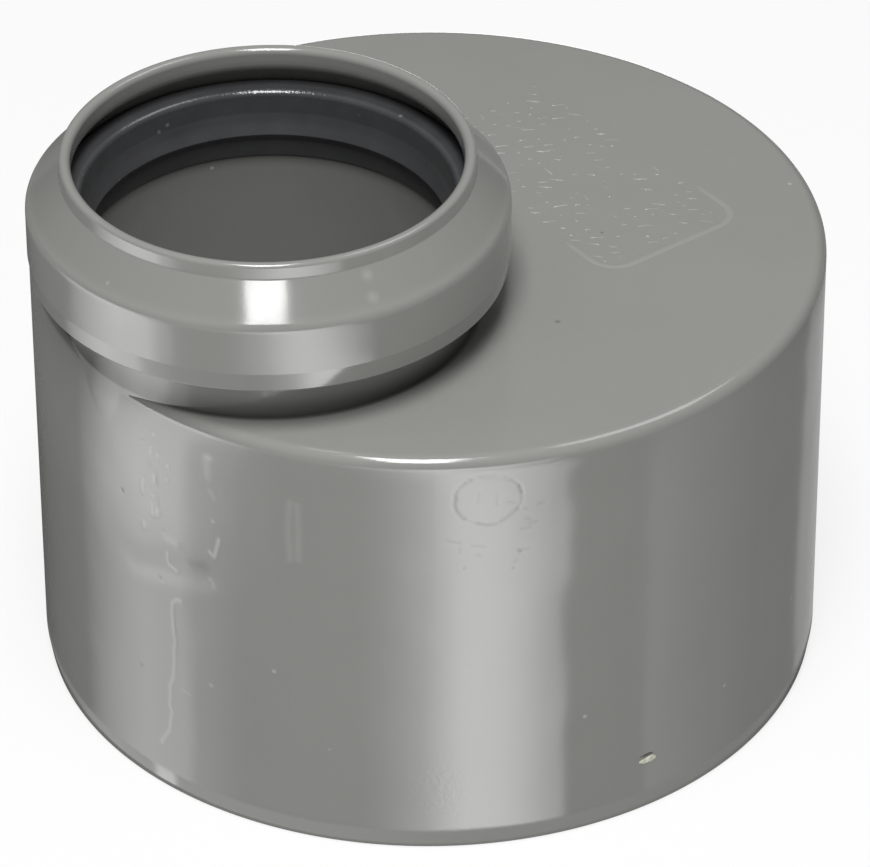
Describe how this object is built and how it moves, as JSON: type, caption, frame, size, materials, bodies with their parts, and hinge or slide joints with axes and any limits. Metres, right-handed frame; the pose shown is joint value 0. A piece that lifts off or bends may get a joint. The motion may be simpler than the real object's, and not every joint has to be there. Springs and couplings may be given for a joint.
{
  "type": "pipe reducer",
  "caption": "Eccentric drainage reducer: wide plain spigot with a flat end plate and a small off-centre push-fit socket with a rubber ring in its bead.",
  "frame": {"origin": "centre of the spigot's open lower end, on the spigot's axis, in the plane of that end", "axes": "+Z along the spigot's and the socket's axes, from the spigot's open end up to the socket's mouth; -X from the spigot's axis towards the socket's axis; the part is symmetric about the XZ plane"},
  "size_m": [0.1146, 0.11, 0.0883],
  "materials": {
    "grey_plastic": "grey moulded drainage plastic, smooth and slightly glossy, with faint flow marks, scuffs and pits",
    "black_rubber": "black rubber, satin, wet-looking along its upper lip"
  },
  "bodies": {
    "root": {"reducer_body": "grey_plastic", "seal_ring": "black_rubber"}
  },
  "joints": []
}
